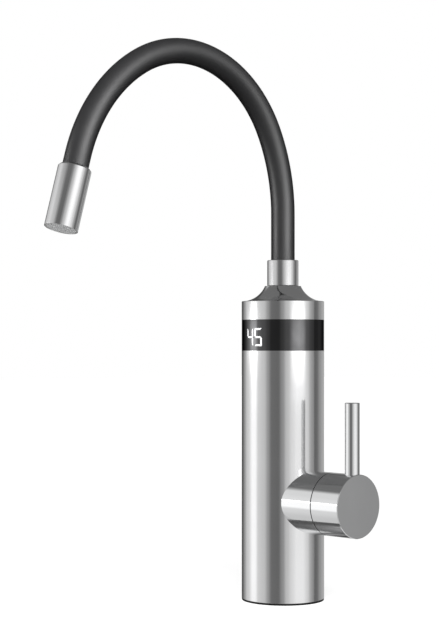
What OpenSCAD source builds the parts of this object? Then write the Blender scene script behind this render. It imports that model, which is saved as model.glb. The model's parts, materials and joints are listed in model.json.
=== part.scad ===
// Electric instant water heater tap: a round steel column with a side lever,
// a display band, and a bendable black spout that ends in an aerator.
// Origin: centre of the base. +Z up, the spout points to -Y, the lever sits on +X.

/* [Column] */
// Outer diameter of the column
column_d = 60; // [57:0.5:70]
// Wall of the column tube
column_wall = 1.5; // [1:0.1:2]
// Height of the column, from the worktop to the display band
column_h = 181.1; // [170:0.1:210]
// Thickness of the soft seal under the column
seal_h = 1.4; // [1:0.1:3]
// Width of the ledges inside the column
ledge_w = 5; // [4:0.5:6]
// Height of the ledges inside the column
ledge_h = 3; // [2:0.5:5]

/* [Base] */
// Thickness of the base plate
plate_t = 6; // [5:0.5:8]
// Radius of the inlet's pipe thread
inlet_thread_r = 9.32; // [9.32:0.01:9.5]
// Depth of the inlet's pipe thread
inlet_thread_l = 12; // [10:1:14]
// Wall of the inlet fitting
inlet_wall = 2.2; // [2:0.1:2.6]
// Bore that the supply cable passes through
cable_d = 7; // [6:0.1:7.5]
// Distance between the two fixing studs
stud_spacing = 36; // [35:0.5:38]
// Hole for each fixing stud
stud_hole_d = 5; // [4:0.1:6]
// Diameter of the screws under the base
base_screw_d = 3; // [2.5:0.1:3.5]

/* [Flow switch] */
// Outer diameter of the flow switch
flow_d = 22; // [20:0.5:24]
// Length of the flow switch
flow_h = 28; // [26:0.5:32]
// Diameter of its sliding plunger
plunger_d = 14.1; // [12:0.1:15]
// Length of the plunger
plunger_h = 10; // [8:0.5:12]
// Travel of the plunger
plunger_travel = 6; // [4:0.5:7]
// Wire of the return spring
spring_wire_d = 1; // [0.8:0.1:1.2]

/* [Valve] */
// Height of the valve's axis
valve_z = 72.6; // [70:0.1:80]
// Metal round the cartridge, out to the face of the valve socket and handle
valve_wall = 4.9; // [4.5:0.1:7]
// Distance from the column's axis to the end of the fixed socket
socket_reach = 47.65; // [46:0.05:55]
// Wall of the socket sleeve
socket_wall = 1.8; // [1.5:0.1:2.5]
// Gap between the socket and the handle
handle_seam = 0.8; // [0.4:0.1:1]
// Diameter of the ceramic cartridge
cartridge_d = 35; // [35:0.1:37]
// Length of the ceramic cartridge
cartridge_l = 27; // [25:0.5:30]
// Length of the ring nut that holds the cartridge
ring_nut_l = 6; // [5:0.5:7]
// Thickness of each ceramic disc
disc_t = 4; // [3:0.5:5]
// Diameter of the cartridge's stem
stem_d = 10; // [8:0.5:11]
// Water passages in the valve
port_d = 7; // [6:0.5:7.5]
// Outer diameter of the water pipes
pipe_d = 9; // [8.5:0.1:10]
// Wall of the water pipes
pipe_wall = 1.2; // [1:0.1:1.5]

/* [Handle] */
// Length of the turning handle
handle_l = 24.65; // [22:0.05:30]
// Wall of the handle
handle_wall = 2.8; // [2:0.1:3.5]
// Diameter of the lever rod
lever_d = 10.5; // [9:0.1:11]
// Length of the lever rod above the handle
lever_rise = 49.8; // [40:0.1:70]
// Distance from the handle's end face to the rod's axis
lever_inset = 5.9; // [5.6:0.1:8]
// Thread that holds the rod
lever_stud_d = 6; // [5:0.5:6]

/* [Heater] */
// Wall of the heater flask
flask_wall = 1.2; // [1:0.1:1.5]
// Thickness of the flask's lid
lid_t = 4; // [3:0.5:5]
// Diameter of the heating element
element_d = 6; // [5:0.5:6.5]
// Turns of the heating element
element_turns = 5; // [4:1:5]
// Diameter of the element's cold pins
pin_d = 4.4; // [4:0.1:4.6]
// Thickness of the circuit boards
board_t = 1.6; // [1:0.2:2]

/* [Display] */
// Height of the display band
band_h = 22.3; // [20:0.1:30]
// Wall of the display band
band_wall = 2; // [1.5:0.1:2.5]
// Height of a digit
digit_h = 12.8; // [10:0.1:14]
// Width of a digit
digit_w = 6.5; // [6:0.1:8]
// Space between the two digits
digit_gap = 1.4; // [1:0.1:2]
// Width of a segment
segment_w = 1.25; // [1:0.05:1.6]
// Space between the ends of two segments
segment_gap = 0.15; // [0.1:0.05:0.3]
// Distance of the digits below the middle of the band
digit_drop = 1.5; // [0:0.1:2]
// Temperature shown
shown_number = 45; // [10:1:99]

/* [Top cap] */
// Height of the cap's straight wall
cap_wall_h = 13.5; // [12:0.1:20]
// Height of the hollow neck above the wall
neck_h = 11.1; // [9:0.1:14]
// Diameter of the neck's flat top
neck_d = 26.2; // [26:0.1:30]
// Small bevel on the metal edges
edge_bevel = 0.35; // [0.2:0.05:0.5]

/* [Swivel] */
// Outer diameter of the swivel seat
seat_d = 21; // [20.5:0.1:22]
// Diameter of the turning nipple
nipple_d = 15; // [14:0.1:15.5]
// Gap between the neck and the turning collar
swivel_gap = 0.3; // [0.3:0.05:0.5]
// Section of the sealing rings
oring_d = 1.6; // [1.4:0.1:1.8]

/* [Spout] */
// Diameter of the collar
collar_d = 22.8; // [22:0.1:26]
// Height of the collar
collar_h = 18.5; // [16:0.1:24]
// Outer diameter of the bendable hose
hose_d = 17.1; // [17:0.1:19]
// Wall of the hose
hose_wall = 2.65; // [2.4:0.05:2.75]
// Straight rise of the spout above the neck
spout_rise = 51.7; // [40:0.1:80]
// Radius of the first bend
bend_1_r = 128.3; // [110:0.1:140]
// Angle of the first bend
bend_1_angle = 27.9; // [20:0.1:35]
// Radius of the second bend
bend_2_r = 88.2; // [80:0.1:100]
// Angle of the second bend
bend_2_angle = 91.8; // [80:0.1:100]
// Radius of the third bend
bend_3_r = 115.2; // [100:0.1:125]
// Angle of the third bend
bend_3_angle = 44.3; // [35:0.1:50]

/* [Outlet head] */
// Diameter of the outlet head
head_d = 22; // [21.6:0.1:26]
// Length of the outlet head
head_l = 42; // [38:0.5:55]
// Straight hose that shows above the head
head_drop = 7.5; // [5:0.1:15]
// Bevel round the top of the head
head_bevel = 1.4; // [0.8:0.1:1.6]
// Size of a cell of the aerator's screen
cell_d = 1.35; // [1.2:0.05:1.5]
// Width of the web between cells
cell_web = 0.35; // [0.3:0.05:0.5]

/* [Hidden] */
$fn = 96;

// Clearances: fixed pieces, running pieces, pieces that rest on each other
fit_gap = 0.1;
run_gap = 0.05;
rest_gap = 0.3;
// Overrun of every cut
over = 1;

// Column
column_r = column_d / 2;
column_ir = column_r - column_wall;
ledge_r = column_ir - ledge_w;
seal_clear = 0.15;
seal_w = 6.6;
seal_r = column_r - seal_clear;
plate_top = seal_h + plate_t;

// Inlet
inlet_r = inlet_thread_r + inlet_wall;
inlet_flange_w = 1;
inlet_flange_t = 2;
inlet_flange_r = inlet_r + inlet_flange_w;
strainer_r = inlet_thread_r - inlet_wall + run_gap;
strainer_t = 1.2;
strainer_seat_l = 3;
strainer_hole_d = 1.6;
strainer_pitch = 2.8;
inlet_neck_l = 3;
inlet_bore_r = strainer_r - inlet_wall / 2;
strainer_z = inlet_thread_l;
inlet_top = inlet_thread_l + strainer_seat_l + inlet_neck_l;

// Cable gland, between the inlet's flange and the ledge
gland_x = -(inlet_flange_r + ledge_r) / 2;
gland_r = (ledge_r - inlet_flange_r) / 2 - rest_gap;
gland_shank_w = 0.5;
gland_rise = 5;

// Screws under the base
base_screw_r = base_screw_d / 2;
screw_head_share = 1.8;
base_screw_head_h = 1.8;
base_screw_circle = column_ir - base_screw_r * screw_head_share - rest_gap;
base_screw_angles = [30, 150, 270];

// Pipes
pipe_r = pipe_d / 2;
pipe_ir = pipe_r - pipe_wall;
pipe_seat = 4;

// Flow switch
flow_z = inlet_top;
flow_top = flow_z + flow_h;
flow_floor = 4;
plunger_r = plunger_d / 2;
chamber_r = plunger_r + run_gap;
plunger_bore_r = 2;
plunger_z = flow_z + flow_floor + rest_gap;
chamber_top = flow_top - pipe_seat;
spring_turns = 4;
spring_r = plunger_r - spring_wire_d - rest_gap;
reed_w = 8;
reed_d = 5;
reed_h = 12;
reed_bite = 1;

// Valve, along +X from the column's axis
valve_d = cartridge_d + 2 * valve_wall;
valve_r = valve_d / 2;
valve_body_r = valve_r - socket_wall - fit_gap;
nut_recess = 1.65;
nut_front = socket_reach - nut_recess;
nut_back = nut_front - ring_nut_l;
chamber_floor = nut_back - cartridge_l;
valve_floor_t = 7;
valve_back = chamber_floor - valve_floor_t;
block_back = 8;
block_w = 26;
block_h = 28;
block_z = valve_z - block_h / 2;
block_top = valve_z + block_h / 2;
cartridge_r = cartridge_d / 2;
cartridge_wall = 2.4;
cartridge_ir = cartridge_r - cartridge_wall;
cartridge_base = 2.4;
ring_nut_rim = 1.2;
ring_nut_r = valve_body_r - ring_nut_rim;
ring_nut_bore_r = 11;
port_r = port_d / 2;
port_offset = 7;
seal_ring_r = 0.8;
seal_seat_r = port_r + 2 * seal_ring_r + fit_gap;
fixed_disc_x = chamber_floor + cartridge_base;
moving_disc_x = fixed_disc_x + disc_t + run_gap;
moving_disc_inset = 1.4;
moving_disc_r = cartridge_ir - moving_disc_inset;
driver_t = 4;
driver_inset = 1.5;
driver_x = moving_disc_x + disc_t;
stem_r = stem_d / 2;
stem_flat = 0.8;
stem_grip = 10;
slip_ring_t = 1;
slip_ring_w = 1.3;
slip_ring_proud = 0.2;

// Handle
handle_x = socket_reach + handle_seam;
handle_end = handle_x + handle_l;
handle_ir = valve_r - handle_wall;
hub_wall = 4;
hub_r = stem_r + hub_wall;
hub_inset = 1;
stem_end = handle_x + stem_grip;
grub_r = 2.5;
grub_inset = 5;
grub_access = 0.4;
lever_r = lever_d / 2;
lever_x = handle_end - lever_inset;
lever_top = valve_r + lever_rise;
lever_stud_r = lever_stud_d / 2;
lever_stud_l = 11;
lever_boss_w = 1.8;
lever_bevel = 0.4;

// Swivel seat, held under the bulkhead
band_spigot_h = 6;
band_spigot_wall = 2;
ledge_space = 2.1;
seat_r = seat_d / 2;
nipple_r = nipple_d / 2;
bulkhead_t = 4;
bulkhead_top = column_h - band_spigot_h - ledge_space - ledge_h;
bulkhead_z = bulkhead_top - bulkhead_t;
seat_nut_h = 5;
seat_nut_w = 3.6;
seat_tail = 3;
seat_z = bulkhead_z - seat_nut_h - seat_tail;
outlet_growth = 0.5;
outlet_r = pipe_r + outlet_growth;

// Heater: the flask stands between the front wall and the power board
board_room = 10.5;
board_y = column_ir - board_room;
board_back = board_y + board_t;
flask_board_gap = 3;
carrier_wall = 2;
carrier_clear = 1.4;
flask_front = column_ir - carrier_wall - carrier_clear - fit_gap;
flask_rear = board_y - flask_board_gap;
flask_r = (flask_rear + flask_front) / 2;
flask_y = (flask_rear - flask_front) / 2;
flask_ir = flask_r - flask_wall;
flask_lift = 5.9;
flask_z = valve_z + valve_body_r + flask_lift;
pin_room = 7;
lid_top = seat_z - pin_room;
flask_top = lid_top - lid_t;
lid_skirt_h = 6;
lid_seal_h = 1.8;
lid_seal_t = 1.5;
lid_seal_z = flask_top - lid_skirt_h / 2 - lid_seal_h / 2;
element_r = element_d / 2;
element_gap = 2.8;
coil_r = flask_ir - element_r - element_gap;
coil_bottom = flask_z + 2 * element_r;
coil_top = flask_top - lid_skirt_h - element_r - element_gap;
leg_gap = 1;
leg_r = coil_r - 2 * element_r - leg_gap;
element_end = flask_top - lid_skirt_h;
coil_steps = 14;
pin_r = pin_d / 2;
pin_collar_w = 1;
pin_collar_h = 2;
pin_rise = 4;
leg_pin = [0, flask_y - leg_r];
coil_pin = [-coil_r, flask_y];
lead_r = 1.3;
flask_l = flask_top - flask_z;
carrier_share = 1 / 8;
carrier_low_share = 1 / 6;
carrier_high_share = 3 / 4;
carrier_h = flask_l * carrier_share;
carrier_low = flask_z + flask_l * carrier_low_share;
carrier_high = flask_z + flask_l * carrier_high_share;
cutout_r = flask_l * carrier_share;
cutout_t = 5;
cutout_bite = 2;
sensor_r = 1.5;
sensor_head_r = 3.4;
sensor_head_h = 5;
sensor_l = 16;
sensor_side = 6;
sensor_front = 2;
sensor_place = [-sensor_side, flask_y - sensor_front];

// Power board
board_edge_gap = 1.2;
board_half = sqrt(pow(column_ir - board_edge_gap, 2) - pow(board_back, 2));
board_below = 15;
board_above = 9;
board_z = flask_z - board_below;
board_top = lid_top + board_above;
board_screw_inset = 3;
board_screw_x = board_half - board_screw_inset;
board_part_inset = 1;
board_screw_r = 1.2;
board_screw_head_h = 1.4;
board_screw_l = 5;
horn_w = 5;
horn_h = 6;
horn_depth = 9;
relay_size = [16, 6, 16];
capacitor_r = 3.4;
capacitor_h = 14;
block_size = [14, 6, 10];
heater_block_size = [16, 6.5, 6.5];
triac_size = [10, 4.4, 10.6];
sink_back = 14;
sink_front = 7;
sink_z = valve_z + valve_body_r + rest_gap;
sink_top = flask_z - rest_gap;

// Display band and cap
band_z = column_h;
band_top = band_z + band_h;
band_ir = column_r - band_wall;
band_spigot_r = column_ir - fit_gap / 2;
digit_z = band_z + band_h / 2 - digit_drop - digit_h / 2;
digits_w = 2 * digit_w + digit_gap;
cap_spigot_h = 5;
cap_spigot_wall = 2;
cap_cavity_h = 9;
cap_floor_w = 3;
cap_floor_r = seat_r + fit_gap + cap_floor_w;
neck_r = neck_d / 2;
neck_z = band_top + cap_wall_h;
neck_top = neck_z + neck_h;
neck_arc_r = (pow(column_r - neck_r, 2) + pow(neck_h, 2)) / (2 * neck_h);
module_margin = 1.2;
module_depth = 6;
module_front = band_ir - fit_gap;
module_back = module_front - module_depth;
display_board_w = 24;
bracket_h = 8;
bracket_wall = 2;
bracket_arm = 4;
ribbon_r = 1.2;

// Lit segments of the digits 0 to 9: top, upper right, lower right, bottom,
// lower left, upper left, middle
LIT = [
    [1, 1, 1, 1, 1, 1, 0], [0, 1, 1, 0, 0, 0, 0], [1, 1, 0, 1, 1, 0, 1],
    [1, 1, 1, 1, 0, 0, 1], [0, 1, 1, 0, 0, 1, 1], [1, 0, 1, 1, 0, 1, 1],
    [1, 0, 1, 1, 1, 1, 1], [1, 1, 1, 0, 0, 0, 0], [1, 1, 1, 1, 1, 1, 1],
    [1, 1, 1, 1, 0, 1, 1]
];

// Nipple and collar
clip_t = 1.2;
clip_w = 1.1;
clip_depth = 0.95;
seat_depth = 40;
nipple_tail = 4;
seat_step = neck_top - seat_depth;
nipple_z = seat_step - nipple_tail;
clip_top = seat_step - rest_gap;
clip_chamber_r = nipple_r + clip_w + 2 * fit_gap;
oring_heights = [12, 24];
hose_r = hose_d / 2;
hose_ir = hose_r - hose_wall;
collar_r = collar_d / 2;
collar_z = neck_top + swivel_gap;
collar_floor = 4.7;
hose_z = collar_z + collar_floor;
barb_r = hose_ir - run_gap;
barb_l = 12;
core_gap = 0.1;
core_r = hose_ir - core_gap;
core_wall = 1.4;
liner_r = core_r - core_wall - core_gap;
liner_wall = 1;
nipple_bore_r = liner_r + run_gap;
liner_dip = 8;

// Bends of the spout, from the column to the head
bend_z = neck_top + spout_rise;
bend_r = [bend_1_r, bend_2_r, bend_3_r];
bend_angle = [bend_1_angle, bend_2_angle, bend_3_angle];
bead_rise = 0.05;
bead_h = 0.8;

// Outlet head, along the flow from the end of the last bend
head_r = head_d / 2;
head_top = head_drop;
head_end = head_top + head_l;
head_grip = 12;
hose_end = head_top + head_grip;
head_lip = 3;
fitting_wall = 1.5;
fitting_r = head_r - fitting_wall;
fitting_l = 16;
fitting_bore_r = 5.75;
fitting_top = hose_end + rest_gap;
outlet_rim = 0.6;
outlet_bore_r = head_r - outlet_rim;
aerator_h = 10;
aerator_wall = 0.5;
aerator_plate = 1.5;
aerator_hole_r = 0.9;
aerator_hole_circle_share = 0.6;
aerator_r = outlet_bore_r - fit_gap;
screen_t = 0.5;
screen_recess = 0.3;
aerator_z = head_end - screen_recess - aerator_h;

// Hollow cylinder between two heights
module pipe(z0, z1, outer, inner) {
    difference() {
        translate([0, 0, z0]) cylinder(h = z1 - z0, r = outer);
        translate([0, 0, z0 - over]) cylinder(h = z1 - z0 + 2 * over, r = inner);
    }
}

// Solid cylinder between two heights
module rod(z0, z1, r) {
    translate([0, 0, z0]) cylinder(h = z1 - z0, r = r);
}

// Block centred in X, between two depths and two heights
module slab(w, y0, y1, z0, z1) {
    translate([-w / 2, y0, z0]) cube([w, y1 - y0, z1 - z0]);
}

// The valve's own frame: its +Z is the tap's +X, its +X points down
module on_valve() {
    translate([0, 0, valve_z]) rotate([0, 90, 0]) children();
}

// The two water passages of the valve, below and above its axis
module at_ports() {
    for (side = [-1, 1]) translate([side * port_offset, 0, 0]) children();
}

// Frame at the end of bend number n of the spout, with +Z along the hose
module at_bend(n) {
    if (n == 0) {
        translate([0, 0, bend_z]) children();
    } else {
        at_bend(n - 1)
            translate([0, -bend_r[n - 1], 0])
            rotate([bend_angle[n - 1], 0, 0])
            translate([0, bend_r[n - 1], 0])
            children();
    }
}

// Solid run of radius r along the spout, from height z0 to s1 past the bends,
// with a fine bead where each bend ends
module spout_run(r, z0, s1) {
    rod(z0, bend_z, r);
    for (n = [0:2]) {
        at_bend(n)
            translate([0, -bend_r[n], 0])
            rotate([90, 0, 90])
            rotate_extrude(angle = bend_angle[n])
            translate([bend_r[n], 0]) circle(r = r);
        at_bend(n + 1) rod(-bead_h / 2, bead_h / 2, r + bead_rise);
    }
    at_bend(3) rod(0, s1, r);
}

// A tube swept along a list of points, with triangles for faces
function unit(v) = v / norm(v);
function heading(p, i) = unit(p[min(i + 1, len(p) - 1)] - p[max(i - 1, 0)]);
function squared(n, t) = unit(n - (n * t) * t);
function first_side(t) = abs(t[2]) < 0.9 ? [0, 0, 1] : [1, 0, 0];
function sides_from(p, i, n) =
    i == len(p) ? [] :
    let (m = squared(n, heading(p, i))) concat([m], sides_from(p, i + 1, m));

module sweep(p, r, count) {
    side = sides_from(p, 0, first_side(heading(p, 0)));
    last = len(p) - 1;
    points = [
        for (i = [0:last], k = [0:count - 1])
            let (a = 360 * k / count, t = heading(p, i))
            p[i] + r * (cos(a) * side[i] + sin(a) * cross(t, side[i]))
    ];
    walls = [
        for (i = [0:last - 1], k = [0:count - 1], half = [0, 1])
            let (n = (k + 1) % count, a = i * count, b = a + count)
            half == 0 ? [a + k, b + k, b + n] : [a + k, b + n, a + n]
    ];
    ends = [
        for (k = [1:count - 2], end = [0, 1])
            end == 0 ? [0, k, k + 1]
                : [last * count, last * count + k + 1, last * count + k]
    ];
    polyhedron(points = points, faces = concat(walls, ends));
}

// Base

module base_seal() {
    color("#2b2b2d") pipe(0, seal_h, seal_r, seal_r - seal_w);
}

module base_plate() {
    color("#b9a46a") difference() {
        rod(seal_h, plate_top, column_ir - fit_gap);
        rod(seal_h - over, plate_top + over, inlet_r + fit_gap);
        translate([gland_x, 0, 0])
            rod(seal_h - over, plate_top + over, gland_r - gland_shank_w + fit_gap);
        for (side = [-1, 1]) translate([0, side * stud_spacing / 2, 0])
            rod(seal_h - over, plate_top + over, stud_hole_d / 2);
        for (a = base_screw_angles) rotate([0, 0, a])
            translate([base_screw_circle, 0, 0]) {
                rod(seal_h - over, plate_top + over, base_screw_r + fit_gap);
                rod(seal_h - over, seal_h + base_screw_head_h + fit_gap,
                    base_screw_r * screw_head_share + fit_gap);
            }
    }
}

module base_screws() {
    color("#9a9c9e") for (a = base_screw_angles) rotate([0, 0, a])
        translate([base_screw_circle, 0, 0]) {
            rod(seal_h, plate_top + ledge_h, base_screw_r);
            rod(seal_h, seal_h + base_screw_head_h, base_screw_r * screw_head_share);
        }
}

module inlet_fitting() {
    color("#c9a54f") difference() {
        union() {
            rod(0, inlet_top, inlet_r);
            rod(plate_top, plate_top + inlet_flange_t, inlet_flange_r);
        }
        rod(-over, inlet_thread_l, inlet_thread_r);
        rod(inlet_thread_l - over, inlet_thread_l + strainer_seat_l, strainer_r + fit_gap);
        rod(0, inlet_top + over, inlet_bore_r);
    }
}

module inlet_strainer() {
    ring_counts = [0, 6, 12];
    color("#c8ccd0") difference() {
        rod(strainer_z, strainer_z + strainer_t, strainer_r);
        rod(strainer_z - over, strainer_z + strainer_t + over, strainer_hole_d / 2);
        for (ring = [1, 2], k = [1:ring_counts[ring]])
            rotate([0, 0, 360 * k / ring_counts[ring]])
            translate([ring * strainer_pitch, 0, 0])
            rod(strainer_z - over, strainer_z + strainer_t + over, strainer_hole_d / 2);
    }
}

module cable_gland() {
    color("#303234") translate([gland_x, 0, 0]) difference() {
        union() {
            rod(seal_h, plate_top, gland_r - gland_shank_w);
            rod(plate_top, plate_top + gland_rise, gland_r);
        }
        rod(seal_h - over, plate_top + gland_rise + over, cable_d / 2);
    }
}

module column_tube() {
    color("#d4d6d8") difference() {
        union() {
            pipe(seal_h, column_h, column_r, column_ir);
            pipe(plate_top, plate_top + ledge_h, column_ir + column_wall / 2, ledge_r);
            pipe(bulkhead_top, bulkhead_top + ledge_h, column_ir + column_wall / 2, ledge_r);
        }
        on_valve() rod(0, column_d, valve_body_r + fit_gap);
        for (a = base_screw_angles) rotate([0, 0, a]) translate([base_screw_circle, 0, 0])
            rod(plate_top - over, plate_top + ledge_h + over, base_screw_r + fit_gap);
    }
}

// Flow switch

module flow_switch_body() {
    color("#e6e4da") difference() {
        rod(flow_z, flow_top, flow_d / 2);
        rod(flow_z - over, flow_top + over, plunger_bore_r);
        rod(flow_z + flow_floor, chamber_top, chamber_r);
        rod(chamber_top - over, flow_top + over, pipe_r + fit_gap);
    }
}

module flow_plunger() {
    color("#3a3a3c") pipe(plunger_z, plunger_z + plunger_h, plunger_r, plunger_bore_r);
}

module flow_spring() {
    wire_r = spring_wire_d / 2;
    z0 = plunger_z + plunger_h + wire_r + fit_gap;
    z1 = chamber_top - wire_r - fit_gap;
    steps = 12 * spring_turns;
    color("#aeb2b6") sweep([
        for (i = [0:steps])
            let (a = 30 * i) [spring_r * cos(a), spring_r * sin(a), z0 + (z1 - z0) * i / steps]
    ], wire_r, 6);
}

module reed_switch() {
    z0 = plunger_z + plunger_h / 2 - reed_h / 2;
    color("#1f6f4a") difference() {
        translate([-flow_d / 2 - reed_d, -reed_w / 2, z0 + plunger_travel])
            cube([reed_d + reed_bite, reed_w, reed_h]);
        rod(flow_z, flow_top, flow_d / 2);
    }
}

// Valve

module inlet_pipe() {
    color("#c98a5a")
        pipe(chamber_top + rest_gap, block_z + pipe_seat, pipe_r, pipe_ir);
}

module valve_body() {
    color("#c9a54f") difference() {
        union() {
            on_valve() rod(valve_back, nut_front, valve_body_r);
            translate([-block_back, -block_w / 2, block_z])
                cube([block_back + chamber_floor, block_w, block_h]);
        }
        on_valve() {
            rod(chamber_floor, nut_front + over, cartridge_r + fit_gap);
            rod(nut_back, nut_front + over, ring_nut_r + fit_gap);
            at_ports() rod(0, chamber_floor + over, port_r);
        }
        rod(block_z - over, valve_z - port_offset, port_r);
        rod(valve_z - valve_d, block_z + pipe_seat, pipe_r + fit_gap);
        rod(valve_z + port_offset, block_top + over, port_r);
        rod(block_top - pipe_seat, valve_z + valve_d, pipe_r + fit_gap);
    }
}

module valve_socket() {
    color("#cfd1d3") difference() {
        on_valve() rod(0, socket_reach, valve_r);
        on_valve() rod(-over, socket_reach + over, valve_body_r + fit_gap);
        on_valve() rod(socket_reach - slip_ring_t, socket_reach + over,
            valve_body_r + fit_gap + slip_ring_w);
        rod(valve_z - valve_d, valve_z + valve_d, column_r);
    }
}

module socket_ring() {
    color("#202022") on_valve()
        pipe(socket_reach - slip_ring_t, socket_reach + slip_ring_proud,
            valve_body_r + slip_ring_w, valve_body_r + fit_gap);
}

module cartridge_body() {
    color("#efeee8") on_valve() difference() {
        rod(chamber_floor, nut_back, cartridge_r);
        rod(fixed_disc_x, nut_back - cartridge_wall, cartridge_ir);
        rod(chamber_floor, nut_back + over, stem_r + run_gap);
        at_ports() {
            rod(chamber_floor - over, fixed_disc_x + over, port_r);
            rod(chamber_floor - over, chamber_floor + 2 * seal_ring_r, seal_seat_r);
        }
    }
}

module cartridge_seals() {
    color("#232325") on_valve() at_ports()
        translate([0, 0, chamber_floor + seal_ring_r])
        rotate_extrude() translate([port_r + seal_ring_r, 0]) circle(r = seal_ring_r);
}

module fixed_ceramic_disc() {
    color("#f4f3ef") on_valve() difference() {
        rod(fixed_disc_x, fixed_disc_x + disc_t, cartridge_ir - fit_gap);
        at_ports() rod(fixed_disc_x - over, fixed_disc_x + disc_t + over, port_r);
    }
}

module cartridge_nut() {
    slot_w = 3;
    slot_h = 2;
    color("#c9a54f") on_valve() difference() {
        pipe(nut_back, nut_front, ring_nut_r, ring_nut_bore_r);
        for (a = [0:60:300]) rotate([0, 0, a])
            translate([0, -slot_w / 2, nut_front - slot_h])
            cube([ring_nut_r + over, slot_w, slot_h + over]);
    }
}

module moving_ceramic_disc() {
    pocket_share = 0.5;
    color("#ffffff") on_valve() difference() {
        rod(moving_disc_x, moving_disc_x + disc_t, moving_disc_r);
        translate([-port_offset, -port_r, moving_disc_x - over])
            cube([2 * port_offset, 2 * port_r, over + disc_t * pocket_share]);
    }
}

module cartridge_stem() {
    color("#c3c5c8") on_valve() difference() {
        union() {
            rod(driver_x, driver_x + driver_t, moving_disc_r - driver_inset);
            rod(driver_x, stem_end, stem_r);
        }
        translate([stem_r - stem_flat, -stem_d / 2, handle_x - hub_inset])
            cube([stem_d, stem_d, stem_grip + hub_inset + over]);
    }
}

// Handle

module handle_cap() {
    color("#c6c8ca") on_valve() difference() {
        union() {
            difference() {
                rod(handle_x, handle_end - edge_bevel, valve_r);
                rod(handle_x - over, handle_end - handle_wall, handle_ir);
            }
            translate([0, 0, handle_end - edge_bevel])
                cylinder(h = edge_bevel, r1 = valve_r, r2 = valve_r - edge_bevel);
            rod(handle_x + hub_inset, handle_end - handle_wall / 2, hub_r);
            intersection() {
                translate([0, 0, lever_x]) rotate([0, -90, 0])
                    cylinder(h = valve_r, r = lever_stud_r + lever_boss_w);
                rod(handle_x, handle_end - handle_wall / 2, valve_r - handle_wall / 2);
            }
        }
        difference() {
            rod(handle_x, stem_end + fit_gap, stem_r + run_gap);
            translate([stem_r - stem_flat + run_gap, -stem_d, handle_x - over])
                cube([stem_d, 2 * stem_d, stem_grip + 2 * over]);
        }
        translate([0, 0, handle_x + grub_inset]) rotate([0, 90, 0]) {
            cylinder(h = valve_d, r = grub_r);
            translate([0, 0, hub_r]) cylinder(h = valve_d, r = grub_r + grub_access);
        }
        translate([0, 0, lever_x]) rotate([0, -90, 0])
            translate([0, 0, valve_r - lever_stud_l - over])
            cylinder(h = lever_stud_l + 2 * over, r = lever_stud_r + run_gap);
    }
}

module handle_screw() {
    color("#8f9194") on_valve() translate([0, 0, handle_x + grub_inset]) rotate([0, 90, 0])
        rod(stem_r - stem_flat, hub_r, grub_r - run_gap);
}

module lever_rod() {
    color("#d6d8da") translate([lever_x, 0, valve_z]) {
        difference() {
            union() {
                rod(valve_r - lever_r, lever_top - lever_bevel, lever_r);
                translate([0, 0, lever_top - lever_bevel])
                    cylinder(h = lever_bevel, r1 = lever_r, r2 = lever_r - lever_bevel);
            }
            rotate([0, 90, 0]) cylinder(h = valve_d, r = valve_r, center = true);
        }
        rod(valve_r - lever_stud_l, valve_r + lever_stud_r, lever_stud_r);
    }
}

// Heater

module feed_pipe() {
    color("#c98a5a")
        pipe(block_top - pipe_seat, flask_z + flask_wall + fit_gap, pipe_r, pipe_ir);
}

module triac_heat_sink() {
    color("#aab0b4") difference() {
        slab(2 * sink_back, -sink_front, board_y - triac_size[1] - fit_gap, sink_z, sink_top);
        rod(sink_z - over, sink_top + over, pipe_r + fit_gap);
    }
}

module heater_flask() {
    color("#b7bbbf") difference() {
        translate([0, flask_y, 0]) rod(flask_z, flask_top, flask_r);
        translate([0, flask_y, 0]) rod(flask_z + flask_wall, flask_top + over, flask_ir);
        rod(flask_z - over, flask_z + flask_wall + over, pipe_r + fit_gap);
    }
}

module flask_lid() {
    color("#9fa3a7") difference() {
        translate([0, flask_y, 0]) {
            rod(flask_top, lid_top, flask_r);
            rod(flask_top - lid_skirt_h, flask_top, flask_ir - fit_gap);
        }
        translate([0, flask_y, 0]) pipe(lid_seal_z - fit_gap, lid_seal_z + lid_seal_h + fit_gap,
            flask_r, flask_ir - lid_seal_t);
        rod(flask_top - lid_skirt_h - over, flask_top, pipe_ir);
        rod(flask_top, lid_top + over, outlet_r + fit_gap);
        for (place = [leg_pin, coil_pin]) translate(place)
            rod(flask_top - lid_skirt_h - over, lid_top + over, pin_r + fit_gap);
        translate(sensor_place)
            rod(flask_top - lid_skirt_h - over, lid_top + over, sensor_r + fit_gap);
    }
}

module lid_seal() {
    color("#232325") translate([0, flask_y, 0])
        pipe(lid_seal_z, lid_seal_z + lid_seal_h, flask_ir - run_gap, flask_ir - lid_seal_t);
}

module heating_element() {
    steps = coil_steps * element_turns;
    turn = coil_steps / 2;
    leg_bottom = coil_bottom + element_r;
    leg = [
        [0, -leg_r, element_end],
        [0, -leg_r, leg_bottom + element_r],
        [0, -leg_r, leg_bottom],
        [0, -leg_r, leg_bottom - element_r / 2]
    ];
    run_in = [
        for (i = [1:turn])
            let (a = -90 + 180 * i / turn, r = leg_r + (coil_r - leg_r) * i / turn)
            [r * cos(a), r * sin(a), coil_bottom]
    ];
    coil = [
        for (i = [1:steps + coil_steps / 4])
            let (a = 90 + 360 * i / coil_steps, rise = i / (steps + coil_steps / 4))
            [coil_r * cos(a), coil_r * sin(a), coil_bottom + (coil_top - coil_bottom) * rise]
    ];
    run_out = [[-coil_r, 0, coil_top + element_r], [-coil_r, 0, element_end]];
    color("#8d6f58") translate([0, flask_y, 0])
        sweep(concat(leg, run_in, coil, run_out), element_r, 6);
}

module element_pins() {
    color("#c9a54f") for (place = [leg_pin, coil_pin]) translate(place) {
        rod(element_end, lid_top + pin_rise, pin_r);
        rod(lid_top, lid_top + pin_collar_h, pin_r + pin_collar_w);
    }
}

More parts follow.
